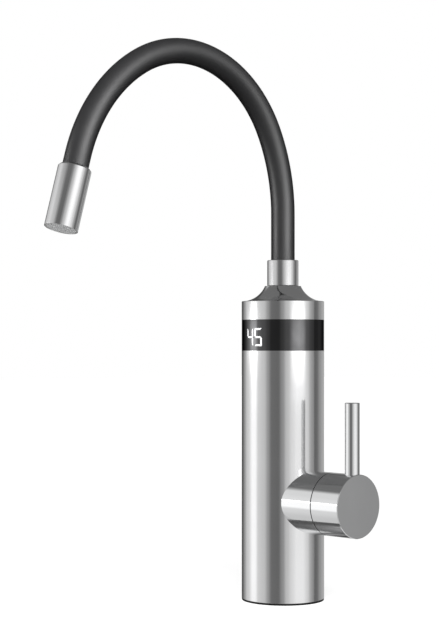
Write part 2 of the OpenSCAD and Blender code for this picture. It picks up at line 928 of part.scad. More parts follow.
module heater_leads() {
    lead_z = lid_top + pin_rise + lead_r;
    low_z = lead_z - lead_r;
    block_front = board_y - heater_block_size[1];
    lead_x = heater_block_size[0] / 4;
    swing = seat_r + 2 * lead_r;
    leg_lead = [
        [leg_pin[0], leg_pin[1], lead_z], [swing / 2, leg_pin[1], lead_z],
        [swing, leg_pin[1] / 2, low_z], [swing, 0, low_z],
        [lead_x, block_front - 3 * lead_r, low_z], [lead_x, block_front - fit_gap, low_z]
    ];
    coil_lead = [
        [coil_pin[0], coil_pin[1], lead_z], [coil_pin[0], 0, lead_z],
        [-lead_x, block_front - 3 * lead_r, low_z], [-lead_x, block_front - fit_gap, low_z]
    ];
    color("#a33a2c") {
        sweep(leg_lead, lead_r, 8);
        sweep(coil_lead, lead_r, 8);
    }
}

module thermal_cutout() {
    z = (carrier_low + carrier_h + carrier_high) / 2;
    color("#caa13a") difference() {
        translate([flask_r - cutout_bite, flask_y, z]) rotate([0, 90, 0])
            cylinder(h = cutout_t + cutout_bite, r = cutout_r);
        translate([0, flask_y, 0]) rod(flask_z, lid_top, flask_r);
    }
}

module water_sensor() {
    color("#b8bcc0") translate(sensor_place) {
        rod(lid_top - sensor_l, lid_top, sensor_r);
        translate([0, 0, lid_top]) cylinder(h = sensor_head_h, r = sensor_head_r, $fn = 6);
    }
}

module flask_carrier() {
    color("#dcdcd6") for (z = [carrier_low, carrier_high]) difference() {
        union() {
            translate([0, flask_y, 0]) rod(z, z + carrier_h, flask_r + fit_gap + carrier_wall);
            for (side = [-1, 1])
                translate([side * board_screw_x - horn_w / 2, board_y - horn_depth,
                    z + (carrier_h - horn_h) / 2])
                cube([horn_w, horn_depth, horn_h]);
        }
        translate([0, flask_y, 0]) rod(z - horn_h, z + carrier_h + horn_h, flask_r + fit_gap);
        for (side = [-1, 1])
            translate([side * board_screw_x, board_y + over, z + carrier_h / 2])
            rotate([90, 0, 0]) cylinder(h = board_screw_l + over, r = board_screw_r + run_gap);
    }
}

// Electronics

module power_board() {
    color("#2f7d4f") difference() {
        slab(2 * board_half, board_y, board_back, board_z, board_top);
        for (z = [carrier_low, carrier_high], side = [-1, 1])
            translate([side * board_screw_x, board_back + over, z + carrier_h / 2])
            rotate([90, 0, 0]) cylinder(h = board_t + 2 * over, r = board_screw_r + fit_gap);
    }
}

module board_screws() {
    color("#9a9c9e") for (z = [carrier_low, carrier_high], side = [-1, 1])
        translate([side * board_screw_x, board_back, z + carrier_h / 2]) rotate([90, 0, 0]) {
            rod(0, board_t + board_screw_l - 2 * fit_gap, board_screw_r);
            rod(-board_screw_head_h, 0, board_screw_r * screw_head_share);
        }
}

module board_parts() {
    middle = (board_z + board_top) / 2;
    color("#2b3a67") {
        slab(relay_size[0], board_back, board_back + relay_size[1],
            middle, middle + relay_size[2]);
        translate([0, board_back + capacitor_r, middle - capacitor_h - board_part_inset])
            rod(0, capacitor_h, capacitor_r);
        slab(block_size[0], board_back, board_back + block_size[1],
            board_z + board_part_inset, board_z + board_part_inset + block_size[2]);
        slab(heater_block_size[0], board_y - heater_block_size[1], board_y,
            board_top - heater_block_size[2] - board_part_inset, board_top - board_part_inset);
        translate([-sink_back / 2, 0, 0])
            slab(triac_size[0], board_y - triac_size[1], board_y,
                sink_top - triac_size[2], sink_top);
    }
}

// Swivel seat and bulkhead

module outlet_pipe() {
    color("#c98a5a") pipe(flask_top, seat_z + pipe_seat, outlet_r, pipe_ir);
}

module bulkhead() {
    color("#3b3d40") difference() {
        rod(bulkhead_z, bulkhead_top, column_ir - fit_gap);
        rod(bulkhead_z - over, bulkhead_top + over, seat_r + fit_gap);
        translate([-ledge_r * 3 / 4, ledge_r / 2, 0])
            rod(bulkhead_z - over, bulkhead_top + over, 2 * ribbon_r);
    }
}

module seat_nut() {
    color("#c9a54f") difference() {
        translate([0, 0, bulkhead_z - seat_nut_h])
            cylinder(h = seat_nut_h, r = seat_r + seat_nut_w, $fn = 6);
        rod(bulkhead_z - seat_nut_h - over, bulkhead_z + over, seat_r + run_gap);
    }
}

module swivel_seat() {
    color("#c9a54f") difference() {
        rod(seat_z, neck_top - rest_gap, seat_r);
        rod(seat_z - over, seat_z + pipe_seat, outlet_r + fit_gap);
        rod(seat_z, seat_step, pipe_ir);
        rod(seat_z + pipe_seat + seat_tail, seat_step, clip_chamber_r);
        rod(seat_step - over, neck_top, nipple_r + run_gap);
    }
}

// Display

// One seven-segment digit in the XY plane
module digit(value) {
    w = digit_w;
    h = digit_h;
    t = segment_w;
    g = segment_gap;
    m = h / 2;
    top = [[g, h], [w - g, h], [w - t - g, h - t], [t + g, h - t]];
    upper_left = [
        [0, h - g], [t, h - t - g], [t, m + t / 2 + g], [t / 2, m + g], [0, m + t / 2 + g]
    ];
    middle = [
        [t / 2 + g, m], [t + g, m + t / 2], [w - t - g, m + t / 2],
        [w - t / 2 - g, m], [w - t - g, m - t / 2], [t + g, m - t / 2]
    ];
    across = [for (p = upper_left) [w - p[0], p[1]]];
    shapes = [
        top, across, [for (p = across) [p[0], h - p[1]]], [for (p = top) [p[0], h - p[1]]],
        [for (p = upper_left) [p[0], h - p[1]]], upper_left, middle
    ];
    for (i = [0:6]) if (LIT[value][i] == 1) polygon(shapes[i]);
}

// The two digits as prisms that pass through the front of the band
module digit_prisms() {
    translate([-digits_w / 2, 0, digit_z]) rotate([90, 0, 0])
        linear_extrude(column_r + over) {
            digit(floor(shown_number / 10));
            translate([digit_w + digit_gap, 0]) digit(shown_number % 10);
        }
}

module display_band() {
    color("#17181a") difference() {
        union() {
            pipe(band_z, band_top, column_r, band_ir);
            pipe(band_z - band_spigot_h, band_z + band_wall, band_spigot_r,
                band_ir - band_spigot_wall);
        }
        digit_prisms();
    }
}

module display_digits() {
    color("#ffffff") intersection() {
        pipe(band_z, band_top, column_r, band_ir);
        digit_prisms();
    }
}

module display_module() {
    w = digits_w + 2 * module_margin;
    color("#e9e9e4") intersection() {
        slab(w, -column_r, -module_back, digit_z - module_margin,
            digit_z + digit_h + module_margin);
        rod(band_z, band_top, module_front);
    }
}

module display_board() {
    color("#2f7d4f") slab(display_board_w, -module_back, -module_back + board_t,
        digit_z - 2 * module_margin, digit_z + digit_h + 2 * module_margin);
}

module display_bracket() {
    z0 = digit_z + digit_h / 2 - bracket_h / 2;
    front = -module_back + board_t;
    color("#dcdcd6") difference() {
        union() {
            rod(z0, z0 + bracket_h, seat_r + fit_gap + bracket_wall);
            for (side = [-1, 1]) translate([side * (seat_r - bracket_arm / 2), 0, 0])
                slab(bracket_arm, front, 0, z0, z0 + bracket_h);
        }
        rod(z0 - over, z0 + bracket_h + over, seat_r + fit_gap);
    }
}

module display_cable() {
    hole = [-ledge_r * 3 / 4, ledge_r / 2];
    above = bulkhead_top + ledge_h + ribbon_r + rest_gap;
    z_plug = bulkhead_z - 2 * ribbon_r;
    start = -module_back + board_t + fit_gap;
    x = hole[0] / 5;
    z_board = board_top - 3 * ribbon_r;
    color("#6f7478") sweep([
        [x, start, digit_z], [x, start + 2 * ribbon_r, digit_z],
        [2 * x, start * 3 / 4, above + 2 * ribbon_r], [hole[0] * 0.8, start / 2, above + ribbon_r],
        [hole[0], 0, above], [hole[0], hole[1] - 2 * ribbon_r, above],
        [hole[0], hole[1], bulkhead_top], [hole[0], hole[1], z_plug],
        [hole[0], hole[1] + ribbon_r, z_board], [hole[0], board_y - fit_gap, z_board]
    ], ribbon_r, 8);
}

// Cap

module top_cap() {
    color("#cccfd1") difference() {
        rotate_extrude() difference() {
            union() {
                translate([0, band_top]) square([column_r, cap_wall_h - edge_bevel]);
                translate([0, neck_z - edge_bevel]) polygon([
                    [0, 0], [column_r, 0], [column_r - edge_bevel, edge_bevel], [0, edge_bevel]
                ]);
                translate([0, neck_z]) square([column_r - edge_bevel, neck_h]);
                translate([0, band_top - cap_spigot_h])
                    square([band_ir - run_gap, cap_spigot_h]);
            }
            translate([column_r, neck_z + neck_arc_r]) circle(r = neck_arc_r, $fn = 2 * $fn);
        }
        rod(band_top - cap_spigot_h - over, neck_top + over, seat_r + fit_gap);
        pipe(band_top - cap_spigot_h - over, band_top, band_ir - cap_spigot_wall, 0);
        pipe(band_top - over, band_top + cap_cavity_h, band_ir - cap_spigot_wall, cap_floor_r);
    }
}

// Spout

module spout_collar() {
    color("#cccfd1") difference() {
        union() {
            rod(collar_z, collar_z + collar_h - edge_bevel, collar_r);
            translate([0, 0, collar_z + collar_h - edge_bevel])
                cylinder(h = edge_bevel, r1 = collar_r, r2 = collar_r - edge_bevel);
        }
        rod(collar_z - over, hose_z, nipple_r + run_gap);
        rod(hose_z, collar_z + collar_h + over, hose_r + run_gap);
    }
}

module spout_nipple() {
    color("#c9a54f") difference() {
        union() {
            rod(nipple_z, hose_z, nipple_r);
            rod(hose_z, hose_z + barb_l, barb_r);
        }
        rod(nipple_z - over, hose_z + barb_l + over, nipple_bore_r);
        pipe(clip_top - clip_t - run_gap, clip_top + run_gap, nipple_r + over,
            nipple_r - clip_depth);
        for (h = oring_heights) translate([0, 0, seat_step + h])
            pipe(-oring_d / 2 - run_gap, oring_d / 2 + run_gap, nipple_r + over,
                nipple_r - oring_d);
    }
}

module swivel_rings() {
    ring_r = oring_d / 2;
    color("#232325") for (h = oring_heights)
        translate([0, 0, seat_step + h])
        rotate_extrude() translate([nipple_r - ring_r, 0]) circle(r = ring_r);
}

module retaining_clip() {
    mouth = 60;
    color("#8f9194") translate([0, 0, clip_top - clip_t])
        rotate([0, 0, mouth / 2]) rotate_extrude(angle = 360 - mouth)
        translate([nipple_r - clip_depth, 0]) square([clip_depth + clip_w, clip_t]);
}

module spout_hose() {
    color("#3a3a3c") difference() {
        spout_run(hose_r, hose_z, hose_end);
        spout_run(hose_ir, hose_z - over, hose_end + over);
    }
}

module gooseneck_core() {
    color("#a9adb1") difference() {
        spout_run(core_r, hose_z + barb_l + rest_gap, hose_end - barb_l + head_lip - rest_gap);
        spout_run(core_r - core_wall, hose_z, hose_end);
    }
}

module water_liner() {
    color("#e8e6df") difference() {
        spout_run(liner_r, hose_z - liner_dip, hose_end + liner_dip);
        spout_run(liner_r - liner_wall, hose_z - liner_dip - over, hose_end + liner_dip + over);
    }
}

// Outlet head

module hose_end_fitting() {
    color("#c9a54f") at_bend(3) difference() {
        union() {
            rod(hose_end - barb_l + head_lip, fitting_top + head_lip, barb_r);
            rod(fitting_top, fitting_top + fitting_l, fitting_r);
        }
        rod(hose_end - barb_l, fitting_top + fitting_l + over, liner_r + run_gap);
        rod(fitting_top + fitting_l / 2, fitting_top + fitting_l + over, fitting_bore_r);
    }
}

module aerator_sleeve() {
    color("#c8cacc") at_bend(3) rotate_extrude() polygon([
        [hose_r + fit_gap, head_top],
        [head_r - head_bevel, head_top],
        [head_r, head_top + head_bevel],
        [head_r, head_end],
        [outlet_bore_r, head_end],
        [outlet_bore_r, aerator_z - rest_gap],
        [fitting_r + fit_gap, aerator_z - rest_gap],
        [fitting_r + fit_gap, head_top + head_lip],
        [hose_r + fit_gap, head_top + head_lip]
    ]);
}

module aerator_body() {
    color("#d9dadb") at_bend(3) difference() {
        rod(aerator_z, aerator_z + aerator_h, aerator_r);
        rod(aerator_z + aerator_plate, aerator_z + aerator_h + over, aerator_r - aerator_wall);
        for (k = [0:11]) rotate([0, 0, 30 * k])
            translate([aerator_r * aerator_hole_circle_share, 0, 0])
            rod(aerator_z - over, aerator_z + aerator_plate + over, aerator_hole_r);
    }
}

module aerator_screen() {
    pitch = cell_d + cell_web;
    screen_r = aerator_r - aerator_wall - run_gap;
    rows = floor(screen_r / pitch);
    color("#dfe0e1") at_bend(3)
        translate([0, 0, aerator_z + aerator_h - screen_t])
        linear_extrude(screen_t) difference() {
            circle(r = screen_r);
            for (i = [-rows:rows], j = [-rows:rows])
                let (x = pitch * (i + j / 2), y = pitch * j * sqrt(3) / 2)
                if (norm([x, y]) < screen_r - pitch)
                    translate([x, y]) rotate(30) circle(d = cell_d * 2 / sqrt(3), $fn = 6);
        }
}

base_seal();
base_plate();
base_screws();
inlet_fitting();
inlet_strainer();
cable_gland();
column_tube();
flow_switch_body();
flow_spring();
reed_switch();
inlet_pipe();
valve_body();
valve_socket();
socket_ring();
cartridge_body();
cartridge_seals();
fixed_ceramic_disc();
cartridge_nut();
feed_pipe();
triac_heat_sink();
heater_flask();
flask_lid();
lid_seal();
heating_element();
element_pins();
heater_leads();
thermal_cutout();
water_sensor();
flask_carrier();
power_board();
board_parts();
board_screws();
outlet_pipe();
bulkhead();
seat_nut();
swivel_seat();
display_band();
display_digits();
display_module();
display_board();
display_bracket();
display_cable();
top_cap();
flow_plunger();
handle_cap();
lever_rod();
handle_screw();
cartridge_stem();
moving_ceramic_disc();
spout_collar();
spout_nipple();
swivel_rings();
retaining_clip();
spout_hose();
gooseneck_core();
water_liner();
hose_end_fitting();
aerator_sleeve();
aerator_body();
aerator_screen();
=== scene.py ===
# %% [markdown]
# # Dressing an instant water heater tap
#
# The working model already holds every piece of the tap at its real size. This
# lesson loads it, photographs it in a small studio, gives each piece a finish,
# and remakes the pieces whose looks need more than the working model holds:
# the bendable spout, the woven screen in the outlet, and the outer shells,
# which get the soft edges that catch the light. Everything is in metres.

import json
import math

import bmesh
import bpy
from mathutils import Matrix, Vector

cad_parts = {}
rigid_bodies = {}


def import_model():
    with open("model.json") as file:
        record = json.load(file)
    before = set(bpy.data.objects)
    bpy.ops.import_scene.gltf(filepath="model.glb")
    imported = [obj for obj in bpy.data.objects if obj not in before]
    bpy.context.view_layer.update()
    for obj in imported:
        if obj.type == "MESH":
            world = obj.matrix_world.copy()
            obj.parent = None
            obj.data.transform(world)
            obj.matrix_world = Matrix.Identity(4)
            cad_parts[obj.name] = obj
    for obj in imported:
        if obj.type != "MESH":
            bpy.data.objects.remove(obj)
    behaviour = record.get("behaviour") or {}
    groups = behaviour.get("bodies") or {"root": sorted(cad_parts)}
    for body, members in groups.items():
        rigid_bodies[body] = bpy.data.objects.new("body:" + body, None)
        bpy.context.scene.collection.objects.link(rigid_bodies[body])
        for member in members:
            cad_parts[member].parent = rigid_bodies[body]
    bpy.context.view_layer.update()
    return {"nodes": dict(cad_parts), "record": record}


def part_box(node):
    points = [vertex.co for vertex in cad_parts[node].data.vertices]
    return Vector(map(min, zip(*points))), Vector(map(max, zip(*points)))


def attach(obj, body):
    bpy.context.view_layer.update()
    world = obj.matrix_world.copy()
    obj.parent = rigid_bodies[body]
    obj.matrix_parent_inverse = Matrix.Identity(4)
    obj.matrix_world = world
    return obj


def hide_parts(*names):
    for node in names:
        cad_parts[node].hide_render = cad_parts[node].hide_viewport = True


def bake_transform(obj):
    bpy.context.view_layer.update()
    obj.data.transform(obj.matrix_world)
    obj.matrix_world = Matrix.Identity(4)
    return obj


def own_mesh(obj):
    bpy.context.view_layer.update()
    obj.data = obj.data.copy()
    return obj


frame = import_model()
scene = bpy.context.scene
nodes = frame["nodes"]
MM = 0.001

# %% [markdown]
# ## The camera
#
# A product photograph like this one is taken from a good metre away with a
# long lens, level with the middle of the column, so upright edges stay upright.
# The camera looks along a level line. The picture is then slid a little with
# the lens shift, instead of tilting the camera, which would make the column lean.

# %% Place the camera
camera_turn = math.radians(46.3)
camera_distance = 1.1313
camera_side = 0.0462
camera_height = 0.1844
camera_lens = 88.7
camera_shift = 0.0492
camera_clip = 0.01

right = Vector((math.cos(camera_turn), math.sin(camera_turn), 0))
towards = Vector((-math.sin(camera_turn), math.cos(camera_turn), 0))

camera_data = bpy.data.cameras.new("camera")
camera_data.lens = camera_lens
camera_data.shift_y = camera_shift
camera_data.clip_start = camera_clip
camera = bpy.data.objects.new("camera", camera_data)
camera.location = (
    -camera_side * right - camera_distance * towards + Vector((0, 0, camera_height))
)
camera.rotation_euler = (math.pi / 2, 0, camera_turn)
scene.collection.objects.link(camera)
scene.camera = camera
scene.view_settings.view_transform = "Standard"
print("camera at", tuple(round(c, 4) for c in camera.location))

# %% [markdown]
# ## The studio
#
# Polished metal has hardly any colour of its own: it shows its surroundings.
# So the studio is what makes the column look like steel. Such an object is
# photographed in a light tent: a tall ring of translucent cloth with softboxes
# behind it, which glow as bright upright bands, and dark flags between them.
# Each band of the tent becomes an upright stripe in the metal.
#
# The tent below is one ring of mesh. One list of stops says how bright the cloth
# is at each angle to the right of the camera. Two boxes behind it, one to the
# left and one to the right, add their own bands, and each has a second list that
# says how they fade with height, because the band, the column and the level
# handle look at different heights of the tent. Near the top the cloth darkens to
# the ceiling, sooner at some angles than at others. An attribute on the mesh
# carries the sum to an Emission shader.
#
# The tent only shows in reflections. Plain area lamps give the soft light that
# falls on rubber and plastic. Black rubber would mirror the tent's edges as a
# grey veil, so it is kept from the tent, and two lamps of its own give it one
# soft gloss down each side. They are flagged off everything else.

# %% The light tent's stops
cloth_stops = (
    (-180, 0.07), (-165, 0.07), (-150, 0.13), (-135, 0.36), (-122, 0.64), (-70, 0.66),
    (-55, 0.62), (-44, 0.36), (-34, 0.165), (-14, 0.15), (-4, 0.32), (9, 0.60), (24, 0.82),
    (36, 0.96), (54, 0.96), (70, 0.74), (80, 0.44), (87.5, 0.34), (93, 0.3), (95, 0.14),
    (106, 0.16), (124, 0.34), (142, 0.44), (176, 0.46), (180, 0.07),
)
left_box_stops = (
    (-180, 0), (-126, 0), (-113, 0.6), (-95, 3.2), (-85, 3.2), (-74, 0.4), (-62, 0.1),
    (-52, 0), (180, 0),
)
left_box_height_stops = (
    (-1.5, 0), (-1.1, 0), (-0.42, 0.04), (-0.22, 0.16), (0.16, 0.16), (0.176, 1), (0.228, 1),
    (0.238, 0.06), (0.34, 0.06), (0.75, 0.04), (1.0, 0.04), (1.2, 0), (1.6, 0),
)
right_box_stops = ((-180, 0), (14, 0), (31, 1.8), (44, 2.2), (52, 1.8), (68, 0), (180, 0))
right_box_height_stops = (
    (-1.5, 0), (0.16, 0), (0.176, 1), (0.228, 1), (0.238, 0.04), (0.36, 0), (0.5, 0),
    (0.65, 0.15), (0.85, 0.15), (1.0, 0), (1.6, 0),
)
cloth_lift_stops = (
    (-180, 0.3), (-140, 0.5), (-40, 0.5), (-15, 0.4), (0, 0.4), (20, 0.45), (70, 0.45), (92, 0),
    (120, 0), (135, -0.15), (178, -0.15), (180, 0.3),
)
cloth_height_stops = ((-1.5, 1), (0.5, 1), (0.85, 0), (1.6, 0))
tent_radius = 1.6
tent_low = -1.4
tent_high = 1.5
tent_rings = 116
tent_steps_per_degree = 2
ceiling_sides = 64
ceiling_glow = 0.17
table_glow_stops = ((0, 0.7), (1.1, 0.7), (1.4, 0.1), (1.6, 0.1))
table_rings = 32
table_degrees = 5


# %% Studio helpers
def stripe_direction(offset, elevation=0.0):
    """Unit vector at an angle to the right of the camera, seen from the tap."""
    turn = camera_turn + math.radians(offset)
    rise = math.radians(elevation)
    return Vector((
        math.sin(turn) * math.cos(rise), -math.cos(turn) * math.cos(rise), math.sin(rise)
    ))


def smooth_between(stops, at):
    """Value at an angle, height or reach, eased from one stop to the next."""
    for (first, low), (last, high) in zip(stops, stops[1:]):
        if at <= last:
            share = (at - first) / (last - first)
            return low + (high - low) * share * share * (3 - 2 * share)
    return stops[-1][1]


def glow_material(name, attribute=None, value=0.0):
    """Studio material that glows by an attribute, or evenly."""
    material = bpy.data.materials.new(name)
    material.use_nodes = True
    tree = material.node_tree
    tree.nodes.clear()
    output = tree.nodes.new("ShaderNodeOutputMaterial")
    glow = tree.nodes.new("ShaderNodeEmission")
    glow.inputs["Strength"].default_value = value
    tree.links.new(glow.outputs["Emission"], output.inputs["Surface"])
    if attribute:
        reader = tree.nodes.new("ShaderNodeAttribute")
        reader.attribute_name = attribute
        tree.links.new(reader.outputs["Fac"], glow.inputs["Strength"])
    return material


def stage_piece(name, mesh, material):
    """Puts a studio piece where only reflections find it."""
    data = bpy.data.meshes.new(name)
    mesh.to_mesh(data)
    mesh.free()
    data.materials.append(material)
    piece = bpy.data.objects.new(name, data)
    scene.collection.objects.link(piece)
    piece.light_linking.receiver_collection = tent_lit
    piece.visible_camera = False
    piece.visible_diffuse = False
    piece.visible_shadow = False
    piece.visible_transmission = False
    piece.visible_volume_scatter = False


def softbox(name, offset, elevation, distance, width, height, watts, aim, only=None):
    """Area lamp at an angle to the right of the camera, facing the tap.

    Polished metal doesn't mirror it. With only, it is flagged off everything
    but the pieces of one collection, and gives those gloss alone.
    """
    lamp = bpy.data.lights.new(name, "AREA")
    lamp.shape = "RECTANGLE"
    lamp.size = width
    lamp.size_y = height
    lamp.energy = watts
    holder = bpy.data.objects.new(name, lamp)
    way = stripe_direction(offset, elevation)
    holder.location = Vector((0, 0, aim)) + way * distance
    holder.rotation_euler = way.to_track_quat("Z", "Y").to_euler()
    holder.visible_glossy = only is not None
    holder.visible_diffuse = only is None
    if only is not None:
        holder.light_linking.receiver_collection = only
    scene.collection.objects.link(holder)


# %% Put up the tent and the lamps
tent_lit = bpy.data.collections.new("lit_by_the_tent")
tent = bmesh.new()
glow_layer = tent.verts.layers.float.new("glow")
tent_heights = sorted(
    {tent_low + (tent_high - tent_low) * ring / tent_rings for ring in range(tent_rings + 1)}
    | {z for z, _ in left_box_height_stops + right_box_height_stops if tent_low < z < tent_high}
)
tent_columns = []
for step in range(-180 * tent_steps_per_degree, 180 * tent_steps_per_degree + 1):
    angle = step / tent_steps_per_degree
    way = stripe_direction(angle) * tent_radius
    column = []
    for z in tent_heights:
        vertex = tent.verts.new((way.x, way.y, z))
        kept = smooth_between(cloth_height_stops, z - smooth_between(cloth_lift_stops, angle))
        cloth_glow = ceiling_glow + (smooth_between(cloth_stops, angle) - ceiling_glow) * kept
        left_glow = (
            smooth_between(left_box_stops, angle) * smooth_between(left_box_height_stops, z)
        )
        right_glow = (
            smooth_between(right_box_stops, angle) * smooth_between(right_box_height_stops, z)
        )
        vertex[glow_layer] = cloth_glow + left_glow + right_glow
        column.append(vertex)
    tent_columns.append(column)
for left, near in zip(tent_columns, tent_columns[1:]):
    for ring in range(len(tent_heights) - 1):
        tent.faces.new((left[ring], near[ring], near[ring + 1], left[ring + 1]))
tent_cloth = glow_material("tent_cloth", attribute="glow")
stage_piece("light_tent", tent, tent_cloth)

ceiling = bmesh.new()
bmesh.ops.create_circle(
    ceiling, cap_ends=True, segments=ceiling_sides, radius=tent_radius,
    matrix=Matrix.Translation((0, 0, tent_high)),
)
stage_piece("tent_ceiling", ceiling, glow_material("tent_ceiling", value=ceiling_glow))

table = bmesh.new()
glow_layer = table.verts.layers.float.new("glow")
table_circles = []
for ring in range(table_rings + 1):
    reach = tent_radius * ring / table_rings
    circle = []
    for degree in range(0, 361, table_degrees):
        way = stripe_direction(degree) * reach
        vertex = table.verts.new((way.x, way.y, tent_low))
        vertex[glow_layer] = smooth_between(table_glow_stops, reach)
        circle.append(vertex)
    table_circles.append(circle)
for inner, outer in zip(table_circles, table_circles[1:]):
    for side in range(len(inner) - 1):
        table.faces.new((inner[side], outer[side], outer[side + 1], inner[side + 1]))
stage_piece("tent_table", table, tent_cloth)

softbox(
    "softbox_front", offset=4, elevation=30, distance=1.3, width=0.8, height=1.0, watts=20.0,
    aim=0.25,
)
softbox(
    "softbox_top", offset=0, elevation=80, distance=1.4, width=1.2, height=1.2, watts=3,
    aim=0.2,
)
spout_lit = bpy.data.collections.new("lit_by_the_spout_lamps")
softbox(
    "spout_lamp_right", offset=44, elevation=11, distance=1.3, width=1.1, height=1.1,
    watts=42.0, aim=0.4, only=spout_lit,
)
softbox(
    "spout_lamp_left", offset=-78, elevation=0, distance=1.3, width=0.5, height=1.0, watts=20.0,
    aim=0.3, only=spout_lit,
)
print("tent:", len(tent_columns), "columns of", len(tent_heights), "heights")

# %% The white surroundings
room_glow = 0.06


def link_all(tree, *pairs):
    """Links each pair of an output and an input."""
    for source, target in pairs:
        tree.links.new(source, target)


def white_background(tree, strength):
    """Plain white world light of a given strength."""
    light = tree.nodes.new("ShaderNodeBackground")
    light.inputs["Color"].default_value = (1, 1, 1, 1)
    light.inputs["Strength"].default_value = strength
    return light


world = bpy.data.worlds.new("white_room")
scene.world = world
world.use_nodes = True
world_tree = world.node_tree
world_tree.nodes.clear()
world_output = world_tree.nodes.new("ShaderNodeOutputWorld")
seen_white = white_background(world_tree, 1.0)
room_light = white_background(world_tree, room_glow)
rays = world_tree.nodes.new("ShaderNodeLightPath")
either = world_tree.nodes.new("ShaderNodeMath")
either.operation = "MAXIMUM"
any_seen = world_tree.nodes.new("ShaderNodeMath")
any_seen.operation = "MAXIMUM"
choose = world_tree.nodes.new("ShaderNodeMixShader")
link_all(
    world_tree,
    (rays.outputs["Is Camera Ray"], either.inputs[0]),
    (rays.outputs["Is Glossy Ray"], either.inputs[1]),
    (either.outputs[0], any_seen.inputs[0]),
    (rays.outputs["Is Transmission Ray"], any_seen.inputs[1]),
    (any_seen.outputs[0], choose.inputs["Fac"]),
    (room_light.outputs[0], choose.inputs[1]),
    (seen_white.outputs[0], choose.inputs[2]),
    (choose.outputs[0], world_output.inputs["Surface"]),
)
print("room glow", room_glow)

# %% [markdown]
# The floor is a pale sheet. To melt into the white behind it, it glows for rays
# that come straight from the camera, and more so far away, where the lamps
# don't reach. It still takes the tap's soft shadow, because near the tap only
# part of its white is glow. Its underside is clear, so that the base can be seen
# from below. Reflections look through it at the tent, so the stripes run down to
# the foot of the column.

# %% The floor
floor_size = 6
floor_grey = 0.5
floor_roughness = 0.9
floor_specular = 0.1
near_reach, near_glow = 0.4, 0.82
far_reach, far_glow = 1.6, 1.0

floor_mesh = bmesh.new()
bmesh.ops.create_grid(floor_mesh, x_segments=1, y_segments=1, size=floor_size)
floor_data = bpy.data.meshes.new("floor")
floor_mesh.to_mesh(floor_data)
floor_mesh.free()
floor = bpy.data.objects.new("floor", floor_data)
scene.collection.objects.link(floor)
floor.visible_glossy = False

floor_material = bpy.data.materials.new("pale_floor")
floor_material.use_nodes = True
floor_tree = floor_material.node_tree
floor_shader = floor_tree.nodes["Principled BSDF"]
floor_shader.inputs["Base Color"].default_value = (floor_grey, floor_grey, floor_grey, 1)
floor_shader.inputs["Roughness"].default_value = floor_roughness
floor_shader.inputs["Specular IOR Level"].default_value = floor_specular
floor_glow = floor_tree.nodes.new("ShaderNodeEmission")
floor_rays = floor_tree.nodes.new("ShaderNodeLightPath")
floor_place = floor_tree.nodes.new("ShaderNodeTexCoord")
floor_reach = floor_tree.nodes.new("ShaderNodeVectorMath")
floor_reach.operation = "LENGTH"
floor_gain = floor_tree.nodes.new("ShaderNodeMapRange")
floor_gain.inputs["From Min"].default_value = near_reach
floor_gain.inputs["From Max"].default_value = far_reach
floor_gain.inputs["To Min"].default_value = near_glow
floor_gain.inputs["To Max"].default_value = far_glow
floor_seen = floor_tree.nodes.new("ShaderNodeMath")
floor_seen.operation = "MULTIPLY"
floor_sum = floor_tree.nodes.new("ShaderNodeAddShader")
floor_side = floor_tree.nodes.new("ShaderNodeNewGeometry")
floor_clear = floor_tree.nodes.new("ShaderNodeBsdfTransparent")
floor_mix = floor_tree.nodes.new("ShaderNodeMixShader")
link_all(
    floor_tree,
    (floor_place.outputs["Object"], floor_reach.inputs[0]),
    (floor_reach.outputs["Value"], floor_gain.inputs["Value"]),
    (floor_rays.outputs["Is Camera Ray"], floor_seen.inputs[0]),
    (floor_gain.outputs["Result"], floor_seen.inputs[1]),
    (floor_seen.outputs[0], floor_glow.inputs["Strength"]),
    (floor_shader.outputs[0], floor_sum.inputs[0]),
    (floor_glow.outputs[0], floor_sum.inputs[1]),
    (floor_side.outputs["Backfacing"], floor_mix.inputs["Fac"]),
    (floor_sum.outputs[0], floor_mix.inputs[1]),
    (floor_clear.outputs[0], floor_mix.inputs[2]),
    (floor_mix.outputs[0], floor_tree.nodes["Material Output"].inputs["Surface"]),
)
floor_data.materials.append(floor_material)
print("floor", 2 * floor_size, "m across")

# %% [markdown]
# ## Finishes
#
# Every finish is worked out by nodes from a point's place in the object, so it
# needs no picture and sticks to the piece when the piece moves. Two kinds of
# noise do most of the work: a fine one, drawn out along the way the metal was
# polished, and a broad, faint one that makes the gloss uneven, as hands and
# water do.

# %% A helper that starts a finish
noise_low, noise_high = 0.3, 0.7  # most of a noise's values lie between these


